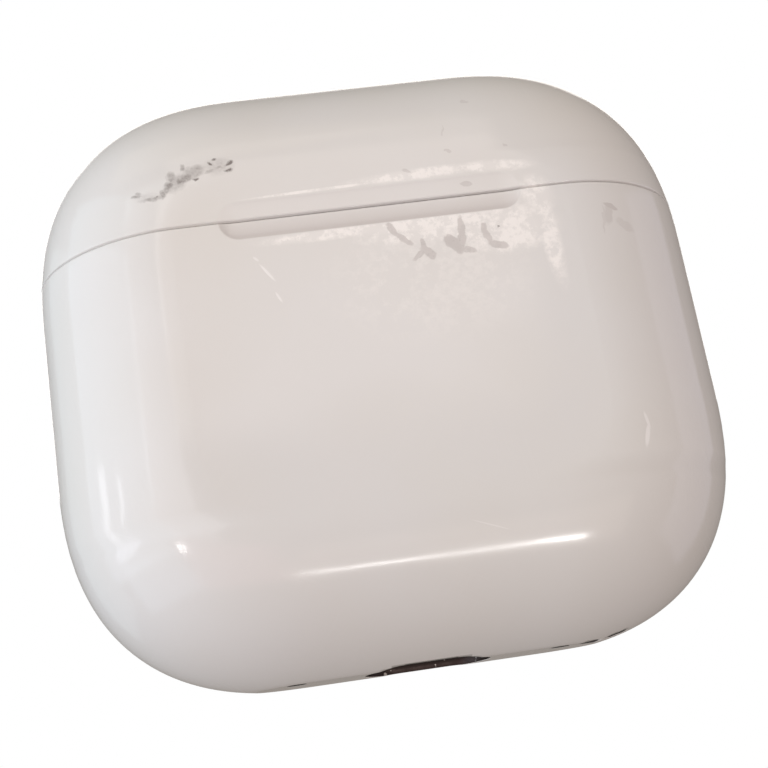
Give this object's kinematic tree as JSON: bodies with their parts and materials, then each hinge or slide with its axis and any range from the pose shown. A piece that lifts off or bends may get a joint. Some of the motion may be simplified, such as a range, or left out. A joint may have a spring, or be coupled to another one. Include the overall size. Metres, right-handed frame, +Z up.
{
  "type": "wireless earbuds case",
  "caption": "Pocket charging case for a pair of wireless earbuds: a rounded flat pebble with a hinged lid, two bays, sprung charging contacts and a charging port underneath.",
  "frame": {"origin": "bottom centre of the closed case, on the flat it stands on", "axes": "+X to the right seen from the front, +Y towards the hinge at the back, +Z up towards the lid"},
  "size_m": [0.05, 0.0212, 0.0459],
  "materials": {
    "white_gloss": "glossy moulded white, lightly worn",
    "white_satin": "satin moulded white",
    "hinge_steel": "fine brushed along the hinge",
    "screw_steel": "plated",
    "port_steel": "bright drawn sheet",
    "dark_plastic": "matt",
    "seal_rubber": "matt",
    "circuit_board": "solder mask",
    "copper_film": "polyimide film over copper",
    "light_guide": "clear to milky",
    "cell_foil": "crimped foil",
    "copper_wire": "enamelled copper wire",
    "ferrite": "matt ceramic sheet",
    "nickel": "nickel plated",
    "gold_plate": "gold plated"
  },
  "bodies": {
    "case": {"body_shell": "white_gloss", "bay_tray": "white_satin", "stem_well_left": "white_satin", "stem_well_right": "white_satin", "hinge_bracket": "hinge_steel", "hinge_pin": "hinge_steel", "hinge_washer_left": "hinge_steel", "hinge_washer_right": "hinge_steel", "bracket_screw_left": "screw_steel", "bracket_screw_right": "screw_steel", "port_shell": "port_steel", "port_tongue": "dark_plastic", "port_gasket": "seal_rubber", "port_board": "circuit_board", "speaker": "dark_plastic", "speaker_mesh": "port_steel", "vent_membrane": "port_steel", "main_board": "circuit_board", "board_shield": "port_steel", "board_ribbon": "copper_film", "status_light": "light_guide", "light_pipe": "light_guide", "battery_left": "cell_foil", "battery_right": "cell_foil", "charging_coil": "copper_wire", "ferrite_sheet": "ferrite", "catch_magnet_left": "nickel", "catch_magnet_right": "nickel", "bud_magnet_left": "nickel", "bud_magnet_right": "nickel", "contact_block_left": "dark_plastic", "contact_block_right": "dark_plastic"},
    "lid": {"lid_shell": "white_gloss", "lid_liner": "white_satin", "hinge_leaf": "hinge_steel", "leaf_screw_left": "screw_steel", "leaf_screw_right": "screw_steel", "lid_magnet_left": "nickel", "lid_magnet_right": "nickel"},
    "contact_left_front": {"contact_pin_left_front": "gold_plate"},
    "contact_left_back": {"contact_pin_left_back": "gold_plate"},
    "contact_right_front": {"contact_pin_right_front": "gold_plate"},
    "contact_right_back": {"contact_pin_right_back": "gold_plate"}
  },
  "joints": [
    {"name": "lid_hinge", "type": "hinge", "parent": "case", "child": "lid", "pos_m": [0, 0.0096, 0.03305], "axis": [-1, 0, 0], "range_deg": [0, 100]},
    {"name": "contact_left_front_press", "type": "slide", "parent": "case", "child": "contact_left_front", "axis": [0, 0, -1], "range_m": [0, 0.0006], "stiffness_N_per_m": 500},
    {"name": "contact_left_back_press", "type": "slide", "parent": "case", "child": "contact_left_back", "axis": [0, 0, -1], "range_m": [0, 0.0006], "stiffness_N_per_m": 500},
    {"name": "contact_right_front_press", "type": "slide", "parent": "case", "child": "contact_right_front", "axis": [0, 0, -1], "range_m": [0, 0.0006], "stiffness_N_per_m": 500},
    {"name": "contact_right_back_press", "type": "slide", "parent": "case", "child": "contact_right_back", "axis": [0, 0, -1], "range_m": [0, 0.0006], "stiffness_N_per_m": 500}
  ]
}
